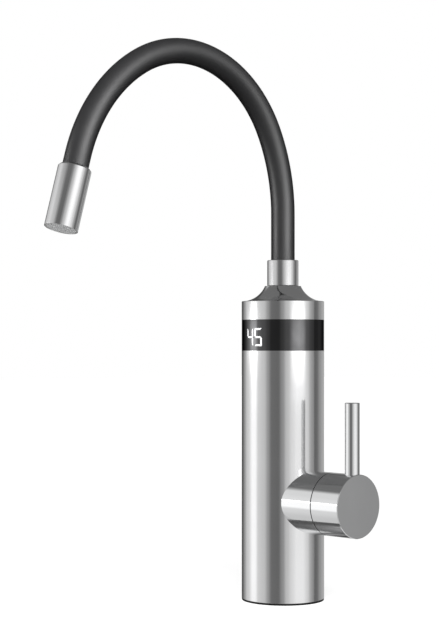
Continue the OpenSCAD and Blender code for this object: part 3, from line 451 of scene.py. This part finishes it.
class Finish:
    """A Principled material with a few short ways to vary it."""

    def __init__(self, name, colour, roughness, metallic=0.0):
        self.material = bpy.data.materials.new(name)
        self.material.use_nodes = True
        self.tree = self.material.node_tree
        self.shader = self.tree.nodes["Principled BSDF"]
        self.shader.inputs["Base Color"].default_value = (*colour, 1)
        self.shader.inputs["Roughness"].default_value = roughness
        self.shader.inputs["Metallic"].default_value = metallic
        self.place = self.tree.nodes.new("ShaderNodeTexCoord").outputs["Object"]

    def add(self, kind, **settings):
        node = self.tree.nodes.new(kind)
        for key, value in settings.items():
            setattr(node, key, value)
        return node

    def link(self, source, target):
        self.tree.links.new(source, target)

    def noise(self, size, stretch=(1, 1, 1), detail=3.0):
        """Noise with grains of this size in metres, drawn out by stretch."""
        mapping = self.add("ShaderNodeMapping")
        mapping.inputs["Scale"].default_value = [1 / (size * s) for s in stretch]
        texture = self.add("ShaderNodeTexNoise")
        texture.inputs["Scale"].default_value = 1.0
        texture.inputs["Detail"].default_value = detail
        self.link(self.place, mapping.inputs["Vector"])
        self.link(mapping.outputs["Vector"], texture.inputs["Vector"])
        return texture.outputs["Fac"]

    def between(self, factor, low, high):
        """A noise, spread over low..high."""
        span = self.add("ShaderNodeMapRange")
        span.inputs["From Min"].default_value = noise_low
        span.inputs["From Max"].default_value = noise_high
        span.inputs["To Min"].default_value = low
        span.inputs["To Max"].default_value = high
        self.link(factor, span.inputs["Value"])
        return span.outputs["Result"]

    def roughen(self, factor, low, high):
        self.link(self.between(factor, low, high), self.shader.inputs["Roughness"])

    def tint(self, factor, dark, light):
        ramp = self.add("ShaderNodeMix", data_type="RGBA")
        ramp.inputs["A"].default_value = (*dark, 1)
        ramp.inputs["B"].default_value = (*light, 1)
        self.link(self.between(factor, 0, 1), ramp.inputs["Factor"])
        self.link(ramp.outputs["Result"], self.shader.inputs["Base Color"])

    def bump(self, factor, depth):
        relief = self.add("ShaderNodeBump")
        relief.inputs["Distance"].default_value = depth
        relief.inputs["Strength"].default_value = 1.0
        self.link(factor, relief.inputs["Height"])
        self.link(relief.outputs["Normal"], self.shader.inputs["Normal"])


finishes = {}

# %% [markdown]
# ### Metals
#
# The column, the cap, the collar and the outlet's sleeve are polished on a
# belt that runs round them, so their fine lines lie level. The valve's socket,
# the handle and the lever are plated and smoother. Inside, the brass is turned,
# the copper is drawn, and the flask is plain pressed steel.

# %% Metals
metal_patch = 0.03
metal_lines_share = 0.5
metal_patches_share = 0.5
metal_shade = 0.96


def metal(slot, colour, low, high, grain, stretch, depth):
    """Metal with fine lines from its last working and an uneven gloss.

    Its roughness runs from low to high. Grain and depth are in metres.
    """
    finish = Finish(slot, colour, (low + high) / 2, metallic=1.0)
    lines = finish.noise(grain, stretch)
    patches = finish.noise(metal_patch)
    worn = finish.add("ShaderNodeMath", operation="MULTIPLY_ADD")
    worn.inputs[1].default_value = metal_lines_share
    finish.link(lines, worn.inputs[0])
    scaled = finish.add("ShaderNodeMath", operation="MULTIPLY")
    scaled.inputs[1].default_value = metal_patches_share
    finish.link(patches, scaled.inputs[0])
    finish.link(scaled.outputs[0], worn.inputs[2])
    finish.roughen(worn.outputs[0], low, high)
    finish.tint(patches, [c * metal_shade for c in colour], colour)
    finish.bump(lines, depth)
    finishes[slot] = finish.material


metal("polished_steel", (0.84, 0.84, 0.845), 0.10, 0.16, 0.0005, (8, 8, 0.5), 0.000002)
metal("chrome", (0.86, 0.865, 0.87), 0.05, 0.10, 0.001, (1, 1, 1), 0.000001)
metal("plain_steel", (0.62, 0.63, 0.65), 0.25, 0.4, 0.0008, (1, 1, 4), 0.00001)
metal("screen_steel", (0.88, 0.885, 0.89), 0.2, 0.34, 0.0004, (1, 1, 1), 0.000004)
metal("aluminium", (0.7, 0.71, 0.73), 0.3, 0.45, 0.0006, (6, 1, 1), 0.00001)
metal("brass", (0.72, 0.56, 0.3), 0.2, 0.36, 0.0005, (4, 4, 0.5), 0.00001)
metal("copper", (0.75, 0.45, 0.32), 0.22, 0.4, 0.0006, (1, 1, 8), 0.000008)

# %% [markdown]
# ### Rubber and silicone
#
# The spout's skin is a black silicone sleeve with a satin face. Its own colour is
# close to black. The soft grey bands along it are gloss: a fine, even roughness
# spreads the mirror image of each lamp over a third of the tube. The seal under
# the foot is duller still, so it reads as one dark line.

# %% Rubber, silicone and cable insulation
rubber_patch = 0.02
rubber_shade = 0.85


def rubber(slot, colour, low, high, grain, depth):
    """Soft material with a fine powdery face."""
    finish = Finish(slot, colour, (low + high) / 2)
    grains = finish.noise(grain, detail=4)
    finish.roughen(finish.noise(rubber_patch), low, high)
    finish.tint(grains, [c * rubber_shade for c in colour], colour)
    finish.bump(grains, depth)
    finishes[slot] = finish.material
    return finish


silicone = rubber("spout_silicone", (0.028, 0.028, 0.029), 0.46, 0.52, 0.0004, 0.000005)
silicone.shader.inputs["IOR"].default_value = 1.41
rubber("liner_silicone", (0.85, 0.84, 0.8), 0.45, 0.6, 0.0006, 0.00001)
seal = rubber("seal_rubber", (0.014, 0.014, 0.014), 0.5, 0.65, 0.0005, 0.00002)
seal.shader.inputs["Specular IOR Level"].default_value = 0.2
rubber("lead_insulation", (0.45, 0.08, 0.06), 0.35, 0.5, 0.0008, 0.00001)

# %% [markdown]
# ### Plastics, ceramic and boards
#
# Moulded plastic has a very fine spark-eroded grain. The display's band is the
# exception: it is clear acrylic with a dark mirror film behind its face, so it
# shows the studio's bands like the steel does, but eight times dimmer. A dark
# metal with a dark grazing tint acts like that film, and keeps the band black
# at its edges. The digits shine through it.

# %% Plastics, ceramic and boards
plastic_patch = 0.01
plastic_shade = 0.94


def plastic(slot, colour, low, high, grain, depth):
    """Moulded plastic with a fine grain."""
    finish = Finish(slot, colour, (low + high) / 2)
    grains = finish.noise(grain)
    finish.roughen(grains, low, high)
    finish.tint(finish.noise(plastic_patch), [c * plastic_shade for c in colour], colour)
    finish.bump(grains, depth)
    finishes[slot] = finish.material
    return finish


plastic("black_plastic", (0.05, 0.05, 0.055), 0.4, 0.55, 0.0003, 0.00001)
plastic("white_plastic", (0.84, 0.84, 0.82), 0.4, 0.55, 0.0003, 0.00001)
plastic("ceramic", (0.92, 0.91, 0.88), 0.12, 0.22, 0.0004, 0.000002)

lens = plastic("display_lens", (0.105, 0.105, 0.107), 0.06, 0.1, 0.006, 0.000004)
lens.shader.inputs["Metallic"].default_value = 1.0
film_tint = 0.25
lens.shader.inputs["Specular Tint"].default_value = (film_tint, film_tint, film_tint, 1)

digits = plastic("display_digits", (0.95, 0.96, 0.97), 0.2, 0.3, 0.001, 0.000002)
digits.shader.inputs["Emission Color"].default_value = (1, 1, 1, 1)
digit_glow = 0.75
digits.shader.inputs["Emission Strength"].default_value = digit_glow

track_scale = 300
track_width = 0.01
board = plastic("circuit_board", (0.05, 0.25, 0.12), 0.25, 0.4, 0.0006, 0.00001)
tracks = board.add("ShaderNodeTexBrick")
tracks.inputs["Color1"].default_value = (0.04, 0.22, 0.1, 1)
tracks.inputs["Color2"].default_value = (0.05, 0.27, 0.13, 1)
tracks.inputs["Mortar"].default_value = (0.11, 0.36, 0.2, 1)
tracks.inputs["Scale"].default_value = track_scale
tracks.inputs["Mortar Size"].default_value = track_width
board.link(board.place, tracks.inputs["Vector"])
board.link(tracks.outputs["Color"], board.shader.inputs["Base Color"])
print("finishes:", len(finishes))

# %% Put the finishes on the working model's pieces
slot_of = {s["node"]: s["material_slot"] for s in frame["record"]["subparts"]}
for name, node in nodes.items():
    node.data.materials.clear()
    node.data.materials.append(finishes[slot_of[name]])
print("dressed", len(nodes), "pieces")

# %% [markdown]
# ## Shells with soft edges
#
# No real edge is perfectly sharp, and the thin bright line along an edge is
# what tells the eye that a thing is metal. The shells below, seven of metal and
# the acrylic band, are copies of the working model's own pieces. Their loose
# triangles are merged, flat areas become single faces, and a Bevel rounds each
# hard edge. Weighted normals then let the large faces decide the shading, so
# that flat faces mirror like flat ones.

# %% Copies with rounded edges
merge_distance = 1e-7
flat_angle = math.radians(0.2)
bevel_segments = 3
bevel_angle = math.radians(30)
face_weight = 50


def body_of(node):
    """Name of the body that a node moves with."""
    return nodes[node].parent.name.split(":", 1)[1]


def plain_copy(piece):
    """Turns a piece and its modifiers into a plain mesh."""
    graph = bpy.context.evaluated_depsgraph_get()
    made = bpy.data.meshes.new_from_object(piece.evaluated_get(graph), depsgraph=graph)
    piece.modifiers.clear()
    piece.data = made


def round_edges(node, width):
    """Replaces a node by its own copy with rounded edges."""
    mesh = bmesh.new()
    mesh.from_mesh(nodes[node].data)
    bmesh.ops.remove_doubles(mesh, verts=mesh.verts, dist=merge_distance)
    bmesh.ops.dissolve_limit(
        mesh, angle_limit=flat_angle, verts=mesh.verts, edges=mesh.edges
    )
    data = bpy.data.meshes.new(node + "_shell")
    mesh.to_mesh(data)
    mesh.free()
    data.shade_smooth()
    data.materials.append(finishes[slot_of[node]])
    shell = bpy.data.objects.new(node + "_shell", data)
    scene.collection.objects.link(shell)
    bevel = shell.modifiers.new("soft_edges", "BEVEL")
    bevel.width = width
    bevel.segments = bevel_segments
    bevel.limit_method = "ANGLE"
    bevel.angle_limit = bevel_angle
    bevel.use_clamp_overlap = True
    shading = shell.modifiers.new("flat_faces_stay_flat", "WEIGHTED_NORMAL")
    shading.weight = face_weight
    shading.keep_sharp = True
    plain_copy(shell)
    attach(shell, body_of(node))
    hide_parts(node)
    print(node, "->", len(shell.data.polygons), "faces")


for node, width in (
    ("column_tube", 0.12 * MM),
    ("display_band", 0.2 * MM),
    ("top_cap", 0.3 * MM),
    ("spout_collar", 0.3 * MM),
    ("valve_socket", 0.08 * MM),
    ("handle_cap", 0.4 * MM),
    ("lever_rod", 0.12 * MM),
    ("aerator_sleeve", 0.2 * MM),
):
    round_edges(node, width)

# %% [markdown]
# ## The bendable spout
#
# The spout is three tubes, one in another: a silicone skin, a wound steel
# gooseneck that holds its bend, and a soft liner that carries the water. All
# three follow one line, which rises straight from the collar, runs through
# three arcs that touch, and drops into the outlet head. Geometry Nodes sweep a
# circle along that line, and change its radius along the way for the ribs of
# the gooseneck.

# %% The line of the spout
bends = ((128.3 * MM, 27.9), (88.2 * MM, 91.8), (115.2 * MM, 44.3))
first_bend_z = 279.7 * MM
line_step = 1.5 * MM
sharp_angle = math.radians(40)


def spout_line(start_z, drop):
    """Points from a height on the column's axis to a drop past the last bend.

    Also the place and the turn at which the last bend ends.
    """
    points = [Vector((0, 0, start_z))]
    place, turn = Vector((0, 0, first_bend_z)), 0.0
    points.append(place.copy())
    for radius, angle in bends:
        side = Vector((0, -math.cos(turn), -math.sin(turn)))
        centre = place + radius * side
        count = max(2, round(math.radians(angle) * radius / line_step))
        for index in range(1, count + 1):
            now = turn + math.radians(angle) * index / count
            out = Vector((0, math.cos(now), math.sin(now)))
            points.append(centre + radius * out)
        place, turn = points[-1].copy(), turn + math.radians(angle)
    along = Vector((0, -math.sin(turn), math.cos(turn)))
    points.append(place + drop * along)
    return points, place, turn


_, spout_end, spout_turn = spout_line(first_bend_z, 0)
head_frame = Matrix.Translation(spout_end) @ Matrix.Rotation(spout_turn, 4, "X")
print("the last bend ends at", tuple(round(c, 4) for c in spout_end))

# %% A Geometry Nodes tree that sweeps a circle along a line
def new_tree(name, sizes):
    """Geometry Nodes group with one geometry input and named sizes."""
    tree = bpy.data.node_groups.new(name, "GeometryNodeTree")
    tree.interface.new_socket("Geometry", in_out="INPUT", socket_type="NodeSocketGeometry")
    for label, kind in sizes:
        tree.interface.new_socket(label, in_out="INPUT", socket_type=kind)
    tree.interface.new_socket("Geometry", in_out="OUTPUT", socket_type="NodeSocketGeometry")
    return tree, tree.nodes.new("NodeGroupInput"), tree.nodes.new("NodeGroupOutput")


def set_inputs(modifier, values):
    """Sets a Geometry Nodes modifier's named inputs by their identifiers."""
    for item in modifier.node_group.interface.items_tree:
        if item.in_out == "INPUT" and item.name in values:
            modifier[item.identifier] = values[item.name]


def tree_math(tree, operation, first, second):
    """Math node on two values, each a socket or a number."""
    node = tree.nodes.new("ShaderNodeMath")
    node.operation = operation
    for socket, value in zip(node.inputs, (first, second)):
        if isinstance(value, (int, float)):
            socket.default_value = value
        else:
            tree.links.new(value, socket)
    return node.outputs[0]


def sweep_tree():
    """Line -> tube, with ribs of a given pitch and depth."""
    tree, given, result = new_tree("swept_tube", (
        ("Radius", "NodeSocketFloat"), ("Step", "NodeSocketFloat"), ("Sides", "NodeSocketInt"),
        ("Rib Pitch", "NodeSocketFloat"), ("Rib Depth", "NodeSocketFloat"),
        ("Material", "NodeSocketMaterial"),
    ))
    link = tree.links.new
    curve = tree.nodes.new("GeometryNodeMeshToCurve")
    resample = tree.nodes.new("GeometryNodeResampleCurve")
    resample.mode = "LENGTH"
    circle = tree.nodes.new("GeometryNodeCurvePrimitiveCircle")
    circle.inputs["Radius"].default_value = 1.0
    upright = tree.nodes.new("GeometryNodeSetCurveNormal")
    upright.mode = "FREE"
    upright.inputs["Normal"].default_value = (1, 0, 0)
    parameter = tree.nodes.new("GeometryNodeSplineParameter")
    phase = tree_math(tree, "DIVIDE", parameter.outputs["Length"], given.outputs["Rib Pitch"])
    wave = tree_math(tree, "COSINE", tree_math(tree, "MULTIPLY", phase, 2 * math.pi), 0)
    dent = tree_math(tree, "MULTIPLY", tree_math(tree, "SUBTRACT", 1.0, wave), 0.5)
    loss = tree_math(tree, "MULTIPLY", dent, given.outputs["Rib Depth"])
    size = tree_math(tree, "SUBTRACT", given.outputs["Radius"], loss)
    swept = tree.nodes.new("GeometryNodeCurveToMesh")
    paint = tree.nodes.new("GeometryNodeSetMaterial")
    smooth = tree.nodes.new("GeometryNodeSetShadeSmooth")
    real = tree.nodes.new("GeometryNodeRealizeInstances")
    link(given.outputs["Geometry"], curve.inputs["Mesh"])
    link(curve.outputs["Curve"], resample.inputs["Curve"])
    link(given.outputs["Step"], resample.inputs["Length"])
    link(resample.outputs["Curve"], upright.inputs["Curve"])
    link(given.outputs["Sides"], circle.inputs["Resolution"])
    link(upright.outputs["Curve"], swept.inputs["Curve"])
    link(circle.outputs["Curve"], swept.inputs["Profile Curve"])
    link(size, swept.inputs["Scale"])
    link(swept.outputs["Mesh"], smooth.inputs["Geometry"])
    link(smooth.outputs["Geometry"], real.inputs["Geometry"])
    link(real.outputs["Geometry"], paint.inputs["Geometry"])
    link(given.outputs["Material"], paint.inputs["Material"])
    link(paint.outputs["Geometry"], result.inputs["Geometry"])
    return tree


sweep = sweep_tree()


# %% Sweep the three tubes of the spout
def line_object(name, points):
    """Mesh of edges through a list of points."""
    data = bpy.data.meshes.new(name)
    edges = [(i, i + 1) for i in range(len(points) - 1)]
    data.from_pydata([tuple(p) for p in points], edges, [])
    piece = bpy.data.objects.new(name, data)
    scene.collection.objects.link(piece)
    return piece


def spout_tube(name, node, start_z, drop, radius, wall, sizes):
    """Hollow tube along the spout that bends where the spout bends."""
    points, _, _ = spout_line(start_z, drop)
    tube = line_object(name, points)
    modifier = tube.modifiers.new("sweep", "NODES")
    modifier.node_group = sweep
    set_inputs(modifier, {"Radius": radius, "Material": finishes[slot_of[node]], **sizes})
    solid = tube.modifiers.new("wall", "SOLIDIFY")
    solid.thickness = wall
    solid.offset = -1
    plain_copy(tube)
    tube.data.set_sharp_from_angle(angle=sharp_angle)
    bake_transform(tube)
    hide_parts(node)
    print(name, len(tube.data.polygons), "faces")
    return tube


hose_low, hose_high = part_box("spout_hose")
hose_r = hose_high.x
hose_wall = 2.65 * MM
hose_end = 19.5 * MM
core_low, core_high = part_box("gooseneck_core")
liner_low, liner_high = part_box("water_liner")
core_wall = 1.4 * MM
liner_wall = 1.0 * MM
liner_dip = hose_low.z - liner_low.z
core_end_inset = 9.3 * MM

skin = spout_tube(
    "spout_skin", "spout_hose", hose_low.z, hose_end, hose_r, hose_wall,
    {"Step": 2.5 * MM, "Sides": 72, "Rib Pitch": 1.0, "Rib Depth": 0.0},
)
spout_lit.objects.link(skin)
tent_lit.objects.link(skin)
tent_lit.collection_objects[0].light_linking.link_state = "EXCLUDE"
spout_tube(
    "wound_gooseneck", "gooseneck_core", core_low.z, hose_end - core_end_inset,
    core_high.x, core_wall / 2,
    {"Step": 0.7 * MM, "Sides": 32, "Rib Pitch": 2.8 * MM, "Rib Depth": 0.6 * MM},
)
spout_tube(
    "soft_liner", "water_liner", liner_low.z, hose_end + liner_dip, liner_high.x, liner_wall,
    {"Step": 4 * MM, "Sides": 32, "Rib Pitch": 1.0, "Rib Depth": 0.0},
)

# %% [markdown]
# ## The screen in the outlet
#
# The mouth of the outlet head shows a fine woven steel screen. Its wires pass
# over and under each other, which a product of two cosines gives: at each
# crossing it is plus or minus one, like the squares of a chessboard. One set of
# wires is lifted by it and the other is lowered.

# %% Weave the screen
wire_sides = 6
steps_per_wave = 8
level_enough = 1e-6


def weave_tree():
    """Woven wires inside a circle, in the XY plane."""
    tree, given, result = new_tree("woven_screen", (
        ("Radius", "NodeSocketFloat"), ("Pitch", "NodeSocketFloat"), ("Wire", "NodeSocketFloat"),
        ("Material", "NodeSocketMaterial"),
    ))
    link = tree.links.new
    span = tree_math(tree, "DIVIDE", given.outputs["Radius"], given.outputs["Pitch"])
    half = tree_math(tree, "FLOOR", span, 0)
    whole = tree_math(tree, "MULTIPLY", half, 2)
    count = tree_math(tree, "ADD", whole, 1)
    width = tree_math(tree, "MULTIPLY", whole, given.outputs["Pitch"])
    fine = tree_math(tree, "ADD", tree_math(tree, "MULTIPLY", half, steps_per_wave), 1)
    grid = tree.nodes.new("GeometryNodeMeshGrid")
    link(width, grid.inputs["Size X"])
    link(width, grid.inputs["Size Y"])
    link(fine, grid.inputs["Vertices X"])
    link(count, grid.inputs["Vertices Y"])
    place = tree.nodes.new("GeometryNodeInputPosition")
    split = tree.nodes.new("ShaderNodeSeparateXYZ")
    link(place.outputs[0], split.inputs[0])
    ends = tree.nodes.new("GeometryNodeInputMeshEdgeVertices")
    first_end = tree.nodes.new("ShaderNodeSeparateXYZ")
    last_end = tree.nodes.new("ShaderNodeSeparateXYZ")
    link(ends.outputs["Position 1"], first_end.inputs[0])
    link(ends.outputs["Position 2"], last_end.inputs[0])
    sideways = tree_math(tree, "SUBTRACT", first_end.outputs["Y"], last_end.outputs["Y"])
    slant = tree_math(tree, "ABSOLUTE", sideways, 0)
    crosses = tree_math(tree, "GREATER_THAN", slant, level_enough)
    strands = tree.nodes.new("GeometryNodeDeleteGeometry")
    strands.domain = "EDGE"
    link(grid.outputs["Mesh"], strands.inputs["Geometry"])
    link(crosses, strands.inputs["Selection"])
    waves = []
    for axis in ("X", "Y"):
        turn = tree_math(tree, "DIVIDE", split.outputs[axis], given.outputs["Pitch"])
        waves.append(tree_math(tree, "COSINE", tree_math(tree, "MULTIPLY", turn, math.pi), 0))
    weave_height = tree_math(tree, "MULTIPLY", waves[0], waves[1])
    lift = tree_math(tree, "MULTIPLY", weave_height, given.outputs["Wire"])
    height = tree.nodes.new("ShaderNodeCombineXYZ")
    link(lift, height.inputs["Z"])
    raised = tree.nodes.new("GeometryNodeSetPosition")
    link(strands.outputs["Geometry"], raised.inputs["Geometry"])
    link(height.outputs[0], raised.inputs["Offset"])
    length = tree.nodes.new("ShaderNodeVectorMath")
    length.operation = "LENGTH"
    link(place.outputs[0], length.inputs[0])
    outside = tree_math(tree, "GREATER_THAN", length.outputs["Value"], given.outputs["Radius"])
    trimmed = tree.nodes.new("GeometryNodeDeleteGeometry")
    link(raised.outputs["Geometry"], trimmed.inputs["Geometry"])
    link(outside, trimmed.inputs["Selection"])
    turned = tree.nodes.new("GeometryNodeTransform")
    turned.inputs["Rotation"].default_value = (math.pi, 0, math.pi / 2)
    link(trimmed.outputs["Geometry"], turned.inputs["Geometry"])
    both = tree.nodes.new("GeometryNodeJoinGeometry")
    link(trimmed.outputs["Geometry"], both.inputs["Geometry"])
    link(turned.outputs["Geometry"], both.inputs["Geometry"])
    curves = tree.nodes.new("GeometryNodeMeshToCurve")
    link(both.outputs["Geometry"], curves.inputs["Mesh"])
    circle = tree.nodes.new("GeometryNodeCurvePrimitiveCircle")
    circle.inputs["Resolution"].default_value = wire_sides
    link(given.outputs["Wire"], circle.inputs["Radius"])
    wires = tree.nodes.new("GeometryNodeCurveToMesh")
    wires.inputs["Fill Caps"].default_value = True
    link(curves.outputs["Curve"], wires.inputs["Curve"])
    link(circle.outputs["Curve"], wires.inputs["Profile Curve"])
    real = tree.nodes.new("GeometryNodeRealizeInstances")
    paint = tree.nodes.new("GeometryNodeSetMaterial")
    link(wires.outputs["Mesh"], real.inputs["Geometry"])
    link(real.outputs["Geometry"], paint.inputs["Geometry"])
    link(given.outputs["Material"], paint.inputs["Material"])
    link(paint.outputs["Geometry"], result.inputs["Geometry"])
    return tree


screen_r = 9.8 * MM
screen_pitch = 0.95 * MM
screen_wire = 0.16 * MM
screen_z = 49.0 * MM
screen_data = bpy.data.meshes.new("woven_screen")
screen = bpy.data.objects.new("woven_screen", screen_data)
scene.collection.objects.link(screen)
weave = screen.modifiers.new("weave", "NODES")
weave.node_group = weave_tree()
set_inputs(weave, {
    "Radius": screen_r, "Pitch": screen_pitch, "Wire": screen_wire,
    "Material": finishes["screen_steel"],
})
plain_copy(screen)
screen.data.transform(head_frame @ Matrix.Translation((0, 0, screen_z)))
screen.data.shade_smooth()
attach(screen, "spout_head")
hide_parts("aerator_screen")
print("screen", len(screen.data.polygons), "faces")

# %% [markdown]
# ## The return spring
#
# The return spring of the flow switch stands between the plunger, which the
# water lifts, and the seat above it. A copy of it, with a mesh of its own,
# moves with the tap's body in place of the working model's piece.

# %% The return spring
spring = bpy.data.objects.new("return_spring", nodes["flow_spring"].data.copy())
scene.collection.objects.link(spring)
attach(spring, "tap_body")
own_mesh(spring)
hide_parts("flow_spring")
